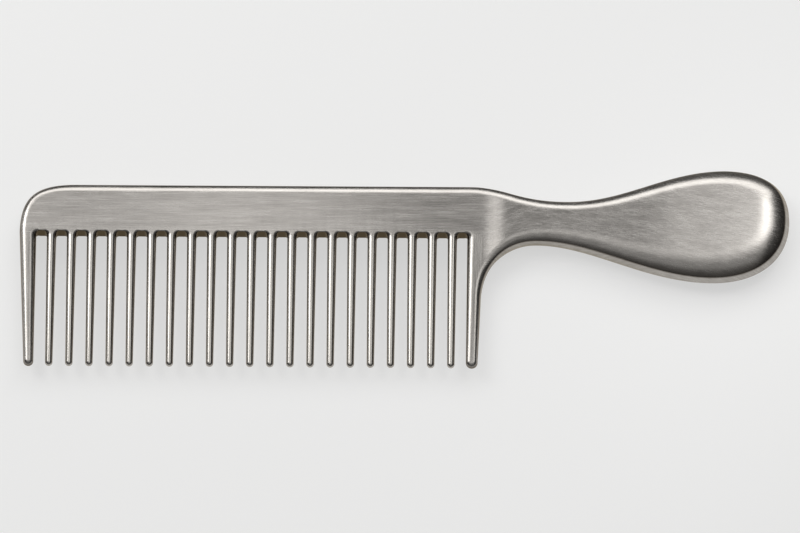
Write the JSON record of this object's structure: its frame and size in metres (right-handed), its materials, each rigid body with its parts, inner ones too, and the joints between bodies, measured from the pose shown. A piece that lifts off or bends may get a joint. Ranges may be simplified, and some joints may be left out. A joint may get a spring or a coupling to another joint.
{
  "type": "mane comb",
  "caption": "Brushed steel mane comb with a straight spine, round-tipped tapered teeth set between two end guards, and a slim neck that swells into a flat paddle handle.",
  "frame": {"origin": "centre of the comb's outline, on the surface that it lies on: the back of the paddle handle is at z = 0", "axes": "+X from the toothed end towards the handle, +Y from the tooth tips towards the back of the spine, +Z out of the front face, which the picture shows"},
  "size_m": [0.2302, 0.0626, 0.01],
  "materials": {
    "brushed_stainless_steel": "brushed along the spine, satin on the rims",
    "satin_tooth_steel": "satin, smoother than the spine"
  },
  "bodies": {
    "root": {"spine_and_handle": "brushed_stainless_steel", "tooth_01": "satin_tooth_steel", "tooth_02": "satin_tooth_steel", "tooth_03": "satin_tooth_steel", "tooth_04": "satin_tooth_steel", "tooth_05": "satin_tooth_steel", "tooth_06": "satin_tooth_steel", "tooth_07": "satin_tooth_steel", "tooth_08": "satin_tooth_steel", "tooth_09": "satin_tooth_steel", "tooth_10": "satin_tooth_steel", "tooth_11": "satin_tooth_steel", "tooth_12": "satin_tooth_steel", "tooth_13": "satin_tooth_steel", "tooth_14": "satin_tooth_steel", "tooth_15": "satin_tooth_steel", "tooth_16": "satin_tooth_steel", "tooth_17": "satin_tooth_steel", "tooth_18": "satin_tooth_steel", "tooth_19": "satin_tooth_steel", "tooth_20": "satin_tooth_steel", "tooth_21": "satin_tooth_steel"}
  },
  "joints": []
}
